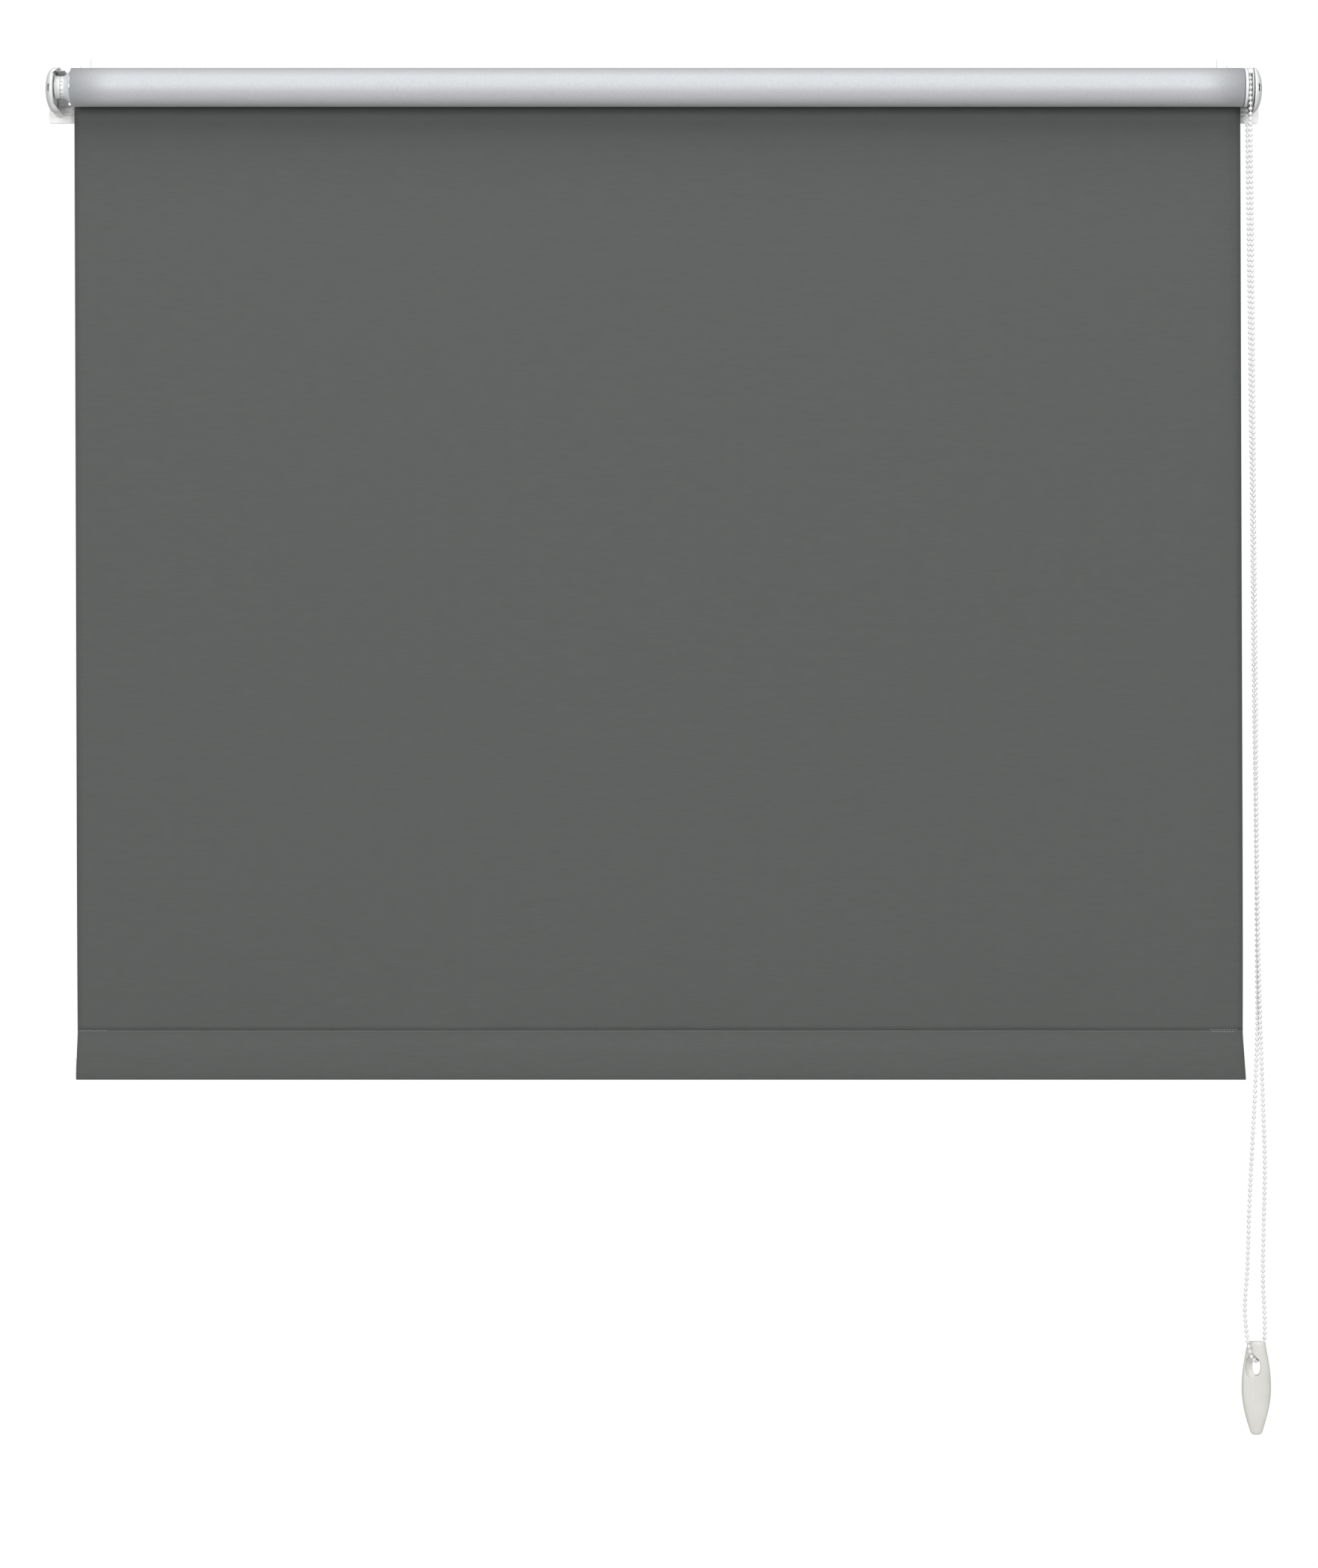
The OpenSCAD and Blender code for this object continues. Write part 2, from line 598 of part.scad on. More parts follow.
module handle() color("#E4E3DE") translate(handle_at) difference() {
    intersection() {
        translate([0, handle_t / 2, 0]) rotate([90, 0, 0]) linear_extrude(handle_t) handle_outline();
        rotate([90, 0, 90]) translate([0, 0, -handle_w / 2]) linear_extrude(handle_w) handle_side();
    }
    for (z = [eye_top + eye_w / 2, eye_top + eye_h - eye_w / 2]) translate([0, handle_t, -z])
        rotate([90, 0, 0]) cylinder(r = eye_w / 2, h = 2 * handle_t, $fn = small_fn);
    translate([-eye_w / 2, -handle_t, -eye_top - eye_h + eye_w / 2])
        cube([eye_w, 2 * handle_t, eye_h - eye_w]);
    // in from the front on one side and out behind on the other
    for (side = [-1, 1]) translate([side * scoop_at[0], side * scoop_at[1], scoop_at[2]])
        sphere(r = scoop_r, $fn = small_fn);
}

left_bracket();
right_bracket();
left_cover();
right_cover();
tube();
fixing_tape();
fabric_roll();
fabric_drop();
hem_pocket();
hem_bar();
hem_bar_caps();
idle_pin();
idle_pin_spring();
idle_plug();
idle_flange();
idle_adjuster_ring();
idle_collar();
clutch_hub();
clutch_guard();
chain_wheel();
clutch_springs();
clutch_core();
clutch_adaptor();
hub_clip();
bead_chain();
handle();
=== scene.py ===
import json
import math

import bpy
import numpy as np
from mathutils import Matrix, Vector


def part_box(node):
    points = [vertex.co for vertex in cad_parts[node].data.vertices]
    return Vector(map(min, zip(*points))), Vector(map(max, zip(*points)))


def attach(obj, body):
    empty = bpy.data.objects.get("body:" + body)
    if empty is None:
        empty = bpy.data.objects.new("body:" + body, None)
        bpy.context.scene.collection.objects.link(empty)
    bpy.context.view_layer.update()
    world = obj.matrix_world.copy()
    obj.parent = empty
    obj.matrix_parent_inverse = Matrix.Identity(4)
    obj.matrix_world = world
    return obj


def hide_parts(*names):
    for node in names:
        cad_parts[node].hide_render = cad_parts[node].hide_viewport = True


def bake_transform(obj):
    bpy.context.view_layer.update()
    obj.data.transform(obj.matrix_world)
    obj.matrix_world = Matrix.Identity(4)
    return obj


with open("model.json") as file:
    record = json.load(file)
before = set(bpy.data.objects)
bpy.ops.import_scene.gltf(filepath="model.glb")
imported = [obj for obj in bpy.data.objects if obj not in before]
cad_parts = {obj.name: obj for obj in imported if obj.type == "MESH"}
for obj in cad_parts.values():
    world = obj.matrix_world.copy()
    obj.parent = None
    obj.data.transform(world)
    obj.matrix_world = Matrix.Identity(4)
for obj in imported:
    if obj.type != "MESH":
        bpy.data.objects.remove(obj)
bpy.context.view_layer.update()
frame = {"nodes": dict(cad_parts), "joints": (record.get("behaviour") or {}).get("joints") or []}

# Roller blind: everything is in metres, with the wall at y = 0 and the room on -y.
# Places come from the frame: the CAD nodes' boxes and the joints' axes.
joints = {joint["name"]: joint for joint in frame["joints"]}
nodes = frame["nodes"]
rollMid = np.array(joints["roller_turn"]["pos_m"])
wheelMid = np.array(joints["chain_wheel_turn"]["pos_m"])
eyeMid = np.array(joints["handle_swing"]["pos_m"])
mm = 0.001
print("frame loaded,", len(nodes), "CAD nodes")

# It looks straight at the wall, from a little below the middle of the hanging cloth.
camera = {
    "place": (0.006, -5.027, -0.804),
    "lens": 99.5,
    "sensor": 36.0,
}
cameraData = bpy.data.cameras.new("camera")
cameraData.lens = camera["lens"]
cameraData.sensor_width = camera["sensor"]
cameraData.clip_end = 50
cameraObject = bpy.data.objects.new("camera", cameraData)
cameraObject.location = camera["place"]
cameraObject.rotation_euler = (math.radians(90), 0, 0)
bpy.context.scene.collection.objects.link(cameraObject)
bpy.context.scene.camera = cameraObject


def gridFaces(rows, columns, closeRows=False, closeColumns=False):
    # quads between neighbours of a rows x columns grid of points, counted row by row
    row = np.arange(rows if closeRows else rows - 1)
    column = np.arange(columns if closeColumns else columns - 1)
    row, column = (a.ravel() for a in np.meshgrid(row, column, indexing="ij"))
    nextRow, nextColumn = (row + 1) % rows, (column + 1) % columns
    return np.stack([row * columns + column, row * columns + nextColumn,
                     nextRow * columns + nextColumn, nextRow * columns + column], axis=1)


def ease(t):
    # smooth step from 0 to 1: 3 t squared less 2 t cubed
    t = np.clip(t, 0, 1)
    return t * t * (3 - 2 * t)


def makeMesh(name, points, faces, materials, faceMaterial=None, smooth=True):
    mesh = bpy.data.meshes.new(name)
    mesh.from_pydata(np.asarray(points).reshape(-1, 3).tolist(), [], [list(f) for f in faces])
    for material in materials:
        mesh.materials.append(material)
    if faceMaterial is not None:
        mesh.polygons.foreach_set("material_index", np.asarray(faceMaterial, np.int32))
    mesh.polygons.foreach_set("use_smooth", np.full(len(mesh.polygons), smooth))
    mesh.validate()
    mesh.update()
    piece = bpy.data.objects.new(name, mesh)
    bpy.context.scene.collection.objects.link(piece)
    return piece


def finishPiece(piece, body):
    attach(piece, body)
    return piece


def thickSheet(front, back):
    # Two rows x columns grids of points, the sheet's two faces, joined round all four edges.
    # Returns the points, the faces and which side each face is on: 0 front, 1 back, 2 edge.
    rows, columns = front.shape[:2]
    count = rows * columns
    face = gridFaces(rows, columns)
    rim = np.concatenate([np.arange(columns), np.arange(1, rows) * columns + columns - 1,
                          (rows - 1) * columns + np.arange(columns - 2, -1, -1),
                          np.arange(rows - 2, 0, -1) * columns])
    following = np.roll(rim, -1)
    edge = np.stack([rim, rim + count, following + count, following], axis=1)
    faces = np.concatenate([face, face[:, ::-1] + count, edge])
    side = np.repeat([0, 1, 2], [len(face), len(face), len(edge)])
    return np.concatenate([front.reshape(-1, 3), back.reshape(-1, 3)]), faces, side


def smoothRoute(points, step):
    # Hermite curve through the points with tangents weighted by the chords on each side,
    # sampled at equal lengths of about step
    points = np.asarray(points, float)
    chord = np.linalg.norm(np.diff(points, axis=0), axis=1)
    slope = np.diff(points, axis=0) / chord[:, None]
    inner = (slope[:-1] * chord[1:, None] + slope[1:] * chord[:-1, None]) / (chord[:-1] + chord[1:])[:, None]
    tangent = np.concatenate([slope[:1], inner, slope[-1:]])
    t = np.linspace(0, 1, 25)[:-1][None, :, None]
    p0, p1 = points[:-1, None], points[1:, None]
    m0, m1 = (tangent[:-1] * chord[:, None])[:, None], (tangent[1:] * chord[:, None])[:, None]
    fine = ((2 * t**3 - 3 * t**2 + 1) * p0 + (t**3 - 2 * t**2 + t) * m0
            + (3 * t**2 - 2 * t**3) * p1 + (t**3 - t**2) * m1).reshape(-1, 3)
    fine = np.concatenate([fine, points[-1:]])
    along = np.concatenate([[0], np.cumsum(np.linalg.norm(np.diff(fine, axis=0), axis=1))])
    count = max(2, round(along[-1] / step) + 1)
    at = np.linspace(0, along[-1], count)
    return np.stack([np.interp(at, along, fine[:, k]) for k in range(3)], axis=1), along[-1]


def crossFrames(line):
    # at each point of a line: its direction, and two directions across it. X is never along it.
    direction = np.gradient(line, axis=0)
    direction /= np.linalg.norm(direction, axis=1)[:, None]
    first = np.cross(direction, [1.0, 0, 0])
    first /= np.linalg.norm(first, axis=1)[:, None]
    return direction, first, np.cross(first, direction)


def evenStretch(piece):
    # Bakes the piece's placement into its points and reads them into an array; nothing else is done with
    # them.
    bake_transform(piece)
    count = len(piece.data.vertices)
    co = np.empty(count * 3, np.float32)
    piece.data.vertices.foreach_get("co", co)


def hexColour(code):
    # sRGB hex to linear RGBA
    value = np.array([int(code[k:k + 2], 16) / 255 for k in (1, 3, 5)])
    linear = np.where(value <= 0.04045, value / 12.92, ((value + 0.055) / 1.055) ** 2.4)
    return (*linear.tolist(), 1.0)


def perMetre(millimetres):
    # texture scale for a grain of this size in Object coordinates
    return 1000.0 / millimetres


def addNode(tree, kind, values=None, links=None, **settings):
    node = tree.nodes.new(kind)
    for name, value in settings.items():
        setattr(node, name, value)
    for name, value in (values or {}).items():
        node.inputs[name].default_value = value
    for name, socket in (links or {}).items():
        tree.links.new(socket, node.inputs[name])
    return node


def newMaterial(name, shader):
    material = bpy.data.materials.new(name)
    material.use_nodes = True
    tree = material.node_tree
    tree.nodes.clear()
    surface = addNode(tree, "ShaderNodeBsdfPrincipled", shader)
    addNode(tree, "ShaderNodeOutputMaterial", None, {"Surface": surface.outputs[0]})
    place = addNode(tree, "ShaderNodeTexCoord").outputs["Object"]
    return material, tree, surface, place


def mottle(tree, place, grain, low, high, detail=3.0):
    # noise of one grain size between two colours
    noise = addNode(tree, "ShaderNodeTexNoise", {"Scale": perMetre(grain), "Detail": detail},
                    {"Vector": place})
    ramp = addNode(tree, "ShaderNodeValToRGB", None, {"Fac": noise.outputs["Fac"]})
    ramp.color_ramp.elements[0].position, ramp.color_ramp.elements[1].position = 0.3, 0.7
    ramp.color_ramp.elements[0].color, ramp.color_ramp.elements[1].color = hexColour(low), hexColour(high)
    return ramp.outputs["Color"]


def mouldedPlastic(name, low, high, roughness, grain=0.8, relief=0.01, metallic=0.0, edge=0.0):
    # Injection-moulded plastic: the tool's fine spark texture gives a satin face with a soft sheen,
    # and the colour drifts a little where the melt flowed. edge rounds the edges to the eye, as the
    # melt never fills a sharp corner. grain, relief and edge are in millimetres. The threads, the
    # tape, the cloth's cut edge and the floor have the same mottled, slightly rough face.
    material, tree, surface, place = newMaterial(name, {"IOR": 1.5, "Metallic": metallic})
    tree.links.new(mottle(tree, place, 30, low, high), surface.inputs["Base Color"])
    wear = addNode(tree, "ShaderNodeTexNoise", {"Scale": perMetre(9), "Detail": 4.0}, {"Vector": place})
    spread = addNode(tree, "ShaderNodeMapRange", {"To Min": roughness - 0.06, "To Max": roughness + 0.06},
                     {"Value": wear.outputs["Fac"]})
    tree.links.new(spread.outputs["Result"], surface.inputs["Roughness"])
    spark = addNode(tree, "ShaderNodeTexNoise", {"Scale": perMetre(grain), "Detail": 2.0}, {"Vector": place})
    bump = addNode(tree, "ShaderNodeBump", {"Strength": 0.6, "Distance": relief * mm},
                   {"Height": spark.outputs["Fac"]})
    if edge:
        rounded = addNode(tree, "ShaderNodeBevel", {"Radius": edge * mm}, None, samples=4)
        tree.links.new(rounded.outputs["Normal"], bump.inputs["Normal"])
    tree.links.new(bump.outputs["Normal"], surface.inputs["Normal"])
    return material


def drawnMetal(name, low, high, roughness, stretch):
    # Metal drawn or turned: hair-fine lines run along or round it. stretch is how much longer the
    # lines are on each axis than they are wide.
    material, tree, surface, place = newMaterial(name, {"Metallic": 1.0})
    lines = addNode(tree, "ShaderNodeMapping", {"Scale": [1.0 / s for s in stretch]}, {"Vector": place})
    tree.links.new(mottle(tree, lines.outputs["Vector"], 0.4, low, high, 4.0), surface.inputs["Base Color"])
    noise = addNode(tree, "ShaderNodeTexNoise", {"Scale": perMetre(0.3)}, {"Vector": lines.outputs["Vector"]})
    spread = addNode(tree, "ShaderNodeMapRange", {"To Min": roughness - 0.08, "To Max": roughness + 0.08},
                     {"Value": noise.outputs["Fac"]})
    tree.links.new(spread.outputs["Result"], surface.inputs["Roughness"])
    bump = addNode(tree, "ShaderNodeBump", {"Strength": 0.4, "Distance": 0.01 * mm},
                   {"Height": noise.outputs["Fac"]})
    tree.links.new(bump.outputs["Normal"], surface.inputs["Normal"])
    return material


weave = {
    "thread": 0.9,      # millimetres: real threads are 0.3 apart, drawn coarser so that they show
    "relief": 0.05,     # millimetres
    "low": "#565856",
    "high": "#616361",
    "thin": "#525453",  # between the threads
}


def wovenCloth():
    # Plain-woven polyester, dyed dark grey: matt, with a faint over-and-under of warp and weft,
    # slubs that run along the weft and a soft nap at grazing angles.
    material, tree, surface, place = newMaterial("wovenPolyesterDarkGrey", {
        "Roughness": 0.9, "IOR": 1.45, "Sheen Weight": 0.12, "Sheen Roughness": 0.5,
        "Specular IOR Level": 0.25})
    bands = 2 * math.pi / 20 / (weave["thread"] * mm)  # a wave's bands are pi / 10 apart at scale 1
    thread = {"Scale": bands, "Distortion": 0.4, "Detail": 1.0}
    warp = addNode(tree, "ShaderNodeTexWave", thread, {"Vector": place},
                   wave_type="BANDS", bands_direction="X")
    weft = addNode(tree, "ShaderNodeTexWave", thread, {"Vector": place},
                   wave_type="BANDS", bands_direction="Z")
    cross = addNode(tree, "ShaderNodeMath", None, None, operation="MULTIPLY")
    tree.links.new(warp.outputs["Fac"], cross.inputs[0])
    tree.links.new(weft.outputs["Fac"], cross.inputs[1])
    slub = addNode(tree, "ShaderNodeMapping", {"Scale": (0.12, 1.0, 1.0)}, {"Vector": place})
    slubs = mottle(tree, slub.outputs["Vector"], 2.2, weave["low"], weave["high"], 5.0)
    mix = addNode(tree, "ShaderNodeMix", {"Factor": 0.5}, None, data_type="RGBA")
    tree.links.new(cross.outputs[0], mix.inputs["Factor"])
    mix.inputs[6].default_value = hexColour(weave["thin"])
    tree.links.new(slubs, mix.inputs[7])
    tree.links.new(mix.outputs[2], surface.inputs["Base Color"])
    bump = addNode(tree, "ShaderNodeBump", {"Strength": 0.5, "Distance": weave["relief"] * mm},
                   {"Height": cross.outputs[0]})
    tree.links.new(bump.outputs["Normal"], surface.inputs["Normal"])
    return material


def silverCoating():
    # Acrylic foam coating with aluminium flake, knife-spread on the cloth's back: a satin silver
    # with the cloth's texture just showing through it.
    material, tree, surface, place = newMaterial("flakeSilverCoating", {"Metallic": 0.3, "IOR": 1.46})
    tree.links.new(mottle(tree, place, 1.6, "#B9BBBF", "#C5C7CA", 6.0), surface.inputs["Base Color"])
    flake = addNode(tree, "ShaderNodeTexNoise", {"Scale": perMetre(0.7), "Detail": 3.0}, {"Vector": place})
    spread = addNode(tree, "ShaderNodeMapRange", {"To Min": 0.52, "To Max": 0.62},
                     {"Value": flake.outputs["Fac"]})
    tree.links.new(spread.outputs["Result"], surface.inputs["Roughness"])
    bump = addNode(tree, "ShaderNodeBump", {"Strength": 0.35, "Distance": 0.04 * mm},
                   {"Height": flake.outputs["Fac"]})
    tree.links.new(bump.outputs["Normal"], surface.inputs["Normal"])
    return material


clothFace = wovenCloth()
clothBack = silverCoating()
# hot-cut edge of the coated cloth
clothEdge = mouldedPlastic("cutClothEdge", "#6E7270", "#83878A", 0.8, 0.5, 0.05)
bracketPlastic = mouldedPlastic("mouldedWhitePolypropylene", "#E8E8E7", "#ECECEB", 0.42, edge=0.4)
coverPlastic = mouldedPlastic("mouldedWhiteAcetal", "#E6E8E8", "#EAECEC", 0.34, relief=0.006, edge=0.35)
innerPlastic = mouldedPlastic("mouldedNaturalNylon", "#E4E3DC", "#ECEBE6", 0.45)
collarPlastic = mouldedPlastic("mouldedSilverGreyPolymer", "#D2D5D8", "#DBDEE0", 0.4, metallic=0.1)
handlePlastic = mouldedPlastic("mouldedIvoryPolypropylene", "#D2D1CB", "#D9D8D3", 0.38,
                               grain=1.2, relief=0.012)
beadPlastic = mouldedPlastic("mouldedWhiteBeads", "#E2E2E5", "#EAEAED", 0.3, relief=0.004)
stringFibre = mouldedPlastic("braidedPolyesterString", "#DADADC", "#E8E8EA", 0.8, 0.4, 0.05)
threadPale = mouldedPlastic("spunPolyesterThreadPale", "#9CA09E", "#B4B8B6", 0.75, 0.4, 0.05)
threadDark = mouldedPlastic("spunPolyesterThreadDark", "#6C716F", "#7C817F", 0.8, 0.4, 0.05)
tapePaper = mouldedPlastic("adhesiveTape", "#E6E1CC", "#EDE9D8", 0.55)
tubeMetal = drawnMetal("extrudedAluminiumTube", "#B4B7BB", "#C6C9CC", 0.34, (60, 1, 1))
barMetal = drawnMetal("extrudedAluminiumBar", "#A9ACB0", "#BBBEC2", 0.38, (60, 1, 1))
pinMetal = drawnMetal("turnedSteelPin", "#B9BBBD", "#CDCFD0", 0.26, (1, 20, 20))
springMetal = drawnMetal("drawnSpringSteel", "#77797C", "#8F9194", 0.3, (1, 12, 12))
print("materials made:", len(bpy.data.materials))


# Bead chain: a cord that hangs from the chain wheel and runs through the handle's eye.
chain = {
    "bead": 4.5 * mm,
    "pitch": 6.0 * mm,
    "string": 0.45 * mm,  # radius between the beads
    "wheelRadius": 17.28 * mm,
    "beadSides": 10,
    "beadRings": 6,
    "stringSides": 6,
    "stringStep": 3,      # the string has a section at every third point of the line
}
# The same route as the CAD cord's, from the wheel's centre, in millimetres.
routeDown = [(0, -17, -30), (1.5, -15.5, -150), (3, -14, -300), (5, -11, -500),
             (7, -8.5, -680), (8.5, -6, -850), (11, -3.5, -1000), (14, -2, -1100),
             (17, 0, -1180), (19, 1.5, -1240), (18, 3, -1310), (17.5, 5, -1380),
             (19.5, 6.5, -1420), (19.5, 8.5, -1443), (18, 9.5, -1454), (15.5, 9, -1462)]
routeEye = [(13, 6.5, -1465), (10.5, 3, -1467), (9, 0, -1467.5), (7.5, -3, -1467), (5, -6.5, -1465)]
routeUp = [(2.5, -9, -1462), (0.5, -9.5, -1456), (-1.5, -9, -1446), (-5, -7.5, -1414),
           (-2, -6, -1360), (0, -4, -1300), (3, -2, -1240), (7.5, 0, -1160), (10, 1, -1100),
           (10, 2.5, -1000), (9, 4.5, -850), (7, 7, -680), (5.5, 9.5, -500),
           (3.5, 12.5, -300), (2, 15, -150), (0.5, 17, -30)]


def wheelArc(start, end, count):
    # points on the chain wheel's pitch circle, by angle above level on the room side
    angle = np.radians(np.linspace(start, end, count))
    radius = chain["wheelRadius"] / mm
    return np.stack([0 * angle, -radius * np.cos(angle), radius * np.sin(angle)], axis=1)


def chainLine():
    route = np.concatenate([wheelArc(90, 0, 9), routeDown, routeEye, routeUp, wheelArc(180, 97, 8)])
    line, length = smoothRoute(wheelMid + route * mm, 1.0 * mm)
    beads = round(length / chain["pitch"])
    at = np.linspace(0, len(line) - 1, beads + 1)
    index = np.round(at).astype(int)
    return line, length, index


def ballPoints(sides, rings):
    # a ball of radius 1 round the z axis: rings of latitude between two poles
    latitude = np.pi * np.arange(1, rings) / rings
    longitude = 2 * np.pi * np.arange(sides) / sides
    ring = np.stack([np.outer(np.sin(latitude), np.cos(longitude)),
                     np.outer(np.sin(latitude), np.sin(longitude)),
                     np.outer(np.cos(latitude), np.ones(sides))], axis=2).reshape(-1, 3)
    return np.concatenate([ring, [[0, 0, 1], [0, 0, -1]]])


def ballFaces(sides, rings):
    middle = gridFaces(rings - 1, sides, closeColumns=True)[:, ::-1]
    k = np.arange(sides)
    top, bottom, last = (rings - 1) * sides, (rings - 1) * sides + 1, (rings - 2) * sides
    caps = [[top, a, b] for a, b in zip(k, (k + 1) % sides)]
    caps += [[bottom, last + b, last + a] for a, b in zip(k, (k + 1) % sides)]
    return middle, np.array(caps)


def makeChain():
    line, length, index = chainLine()
    direction, first, second = crossFrames(line)
    sides, rings = chain["beadSides"], chain["beadRings"]
    ball = ballPoints(sides, rings)
    middle, caps = ballFaces(sides, rings)
    # each bead: the ball turned so that its poles lie along the string
    turned = (ball[None, :, 0, None] * first[index, None] + ball[None, :, 1, None] * second[index, None]
              + ball[None, :, 2, None] * direction[index, None])
    beads = (line[index, None] + chain["bead"] / 2 * turned).reshape(-1, 3)
    offset = (np.arange(len(index)) * len(ball))[:, None, None]
    faces = [face for part in (middle, caps)
             for face in (part[None] + offset).reshape(-1, part.shape[1]).tolist()]
    # the string: a thin tube through all of them
    around, step = chain["stringSides"], chain["stringStep"]
    angle = 2 * np.pi * np.arange(around) / around
    thin = line[::step]
    tube = (thin[:, None] + chain["string"] * (np.cos(angle)[None, :, None] * first[::step, None]
                                               + np.sin(angle)[None, :, None] * second[::step, None]))
    start = len(beads)
    tubeFaces = gridFaces(len(thin), around, closeColumns=True)[:, ::-1] + start
    last = start + (len(thin) - 1) * around
    ends = [list(range(start, start + around)), list(range(last, last + around))[::-1]]
    which = [0] * len(faces) + [1] * (len(tubeFaces) + 2)
    piece = makeMesh("beadChain", np.concatenate([beads, tube.reshape(-1, 3)]),
                     faces + tubeFaces.tolist() + ends, [beadPlastic, stringFibre], which)
    finishPiece(piece, "chain_loop")
    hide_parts("bead_chain")
    return piece, line, length


beadChain, chainPath, chainLength = makeChain()
print("bead chain made: %.3f m" % chainLength)


# Handle: a flat spindle with an eye for the chain, which hangs in it.
handle = {
    "top": 25.1 * mm,       # from the pivot, the middle of the eye's round end, up to the handle's top
    "length": 107.5 * mm,
    "topWidth": 19.5 * mm,
    "width": 33.6 * mm,
    "endWidth": 11.5 * mm,
    "thick": 14.0 * mm,
    "corner": 3.2 * mm,     # rounding at the two ends
    "sides": 72,
    "voxel": 0.5 * mm,
    "cutterSides": 48,
    "cutterRings": 32,
    "cutters": {            # middle from the handle's top, radii (both in millimetres), and power
        "eyeCutter": ((0, 0, -29.3), (4.3, 40, 9.9), 0.9),
        "frontScoop": ((-6.2, -8.6, -28.4), (9.4, 10.4, 14.6), 1.0),
        "backScoop": ((6.2, 8.6, -28.4), (9.4, 10.4, 14.6), 1.0),
    },
    "seamFrom": 44,         # millimetres below the top: where the mould line starts
    "seamWidth": 0.55,      # millimetres
    "seamDepth": 0.3 * mm,
}


def handleSection(depth):
    # half width: two quarter-sine bows that meet at mid length. Half thickness: one sine bow.
    # Both are drawn in by a quarter circle at the two ends.
    length, corner = handle["length"], handle["corner"]
    near, far = np.clip(2 * depth / length, 0, 1), np.clip(2 * (length - depth) / length, 0, 1)
    top, wide, end = handle["topWidth"] / 2, handle["width"] / 2, handle["endWidth"] / 2
    half = np.where(depth < length / 2, top + (wide - top) * np.sin(np.pi / 2 * near),
                    end + (wide - end) * np.sin(np.pi / 2 * far))
    thick = handle["thick"] / 2 * (0.62 + 0.38 * np.sin(np.pi * depth / length))
    reach = np.clip(np.minimum(depth, length - depth), 0, corner)
    drawn = corner - np.sqrt(np.maximum(corner**2 - (corner - reach) ** 2, 0))
    return half - drawn, thick - drawn * 0.75


def closedSpindle(name):
    # superellipse sections (power 2.5) stacked down the handle, closed by a flat at each end
    length, corner, sides = handle["length"], handle["corner"], handle["sides"]
    depth = np.concatenate([corner * np.linspace(0, 1, 8) ** 2,
                            np.linspace(corner, length - corner, 60)[1:-1],
                            length - corner * np.linspace(1, 0, 8) ** 2])
    half, thick = handleSection(depth)
    angle = 2 * np.pi * np.arange(sides) / sides
    c, s = np.cos(angle), np.sin(angle)
    x = np.sign(c) * np.abs(c) ** 0.8
    y = np.sign(s) * np.abs(s) ** 0.8
    points = np.stack([half[:, None] * x, thick[:, None] * y,
                       np.repeat(-depth[:, None], sides, axis=1)], axis=2)
    faces = gridFaces(len(depth), sides, closeColumns=True)[:, ::-1].tolist()
    faces += [list(range(sides)), list(range((len(depth) - 1) * sides, len(depth) * sides))[::-1]]
    return makeMesh(name, points + handleTop, faces, [handlePlastic])


def roundCutter(name, middle, radii, power):
    # an ellipsoid, or with a power under 1 one with squarer sides
    sides, rings = handle["cutterSides"], handle["cutterRings"]
    ball = ballPoints(sides, rings)
    ball = np.sign(ball) * np.abs(ball) ** power
    middleFaces, caps = ballFaces(sides, rings)
    return makeMesh(name, handleTop + np.array(middle) * mm + ball * np.array(radii) * mm,
                    middleFaces.tolist() + caps.tolist(), [handlePlastic])


def bakeModifiers(piece):
    # the mesh as its modifiers leave it, with the modifiers removed
    graph = bpy.context.evaluated_depsgraph_get()
    graph.update()
    mesh = bpy.data.meshes.new_from_object(piece.evaluated_get(graph))
    piece.modifiers.clear()
    piece.data = mesh
    return piece


def makeHandle():
    piece = closedSpindle("chainHandle")
    # the eye goes right through; a scoop on each side leads the chain in and out of it
    cutters = [roundCutter(name, *shape) for name, shape in handle["cutters"].items()]
    for cutter in cutters:
        boolean = piece.modifiers.new(cutter.name, "BOOLEAN")
        boolean.operation, boolean.object, boolean.solver = "DIFFERENCE", cutter, "EXACT"
    bakeModifiers(piece)
    for cutter in cutters:
        bpy.data.objects.remove(cutter)
    remesh = piece.modifiers.new("even", "REMESH")
    remesh.mode, remesh.voxel_size = "VOXEL", handle["voxel"]
    relax = piece.modifiers.new("relax", "SMOOTH")
    relax.factor, relax.iterations = 0.5, 6
    bakeModifiers(piece)
    # a shallow line down the front where the two halves of the mould met
    count = len(piece.data.vertices)
    co = np.empty(count * 3, np.float32)
    piece.data.vertices.foreach_get("co", co)
    co = co.reshape(-1, 3)
    place = (co - handleTop) / mm
    depth = -place[:, 2]
    seam = -8.3 + 3.9 * (depth - 46) / 60
    groove = np.exp(-((place[:, 0] - seam) / handle["seamWidth"]) ** 2)
    groove = groove * ease((depth - handle["seamFrom"]) / 5) * (place[:, 1] < 0)
    co[:, 1] += handle["seamDepth"] * groove
    piece.data.vertices.foreach_set("co", co.ravel())
    piece.data.polygons.foreach_set("use_smooth", np.ones(len(piece.data.polygons), bool))
    piece.data.materials.clear()
    piece.data.materials.append(handlePlastic)
    piece.data.update()
    finishPiece(piece, "handle")
    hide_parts("handle")
    return piece


handleTop = eyeMid + np.array([0, 0, handle["top"]])
chainHandle = makeHandle()
print("handle made:", len(chainHandle.data.polygons), "faces")


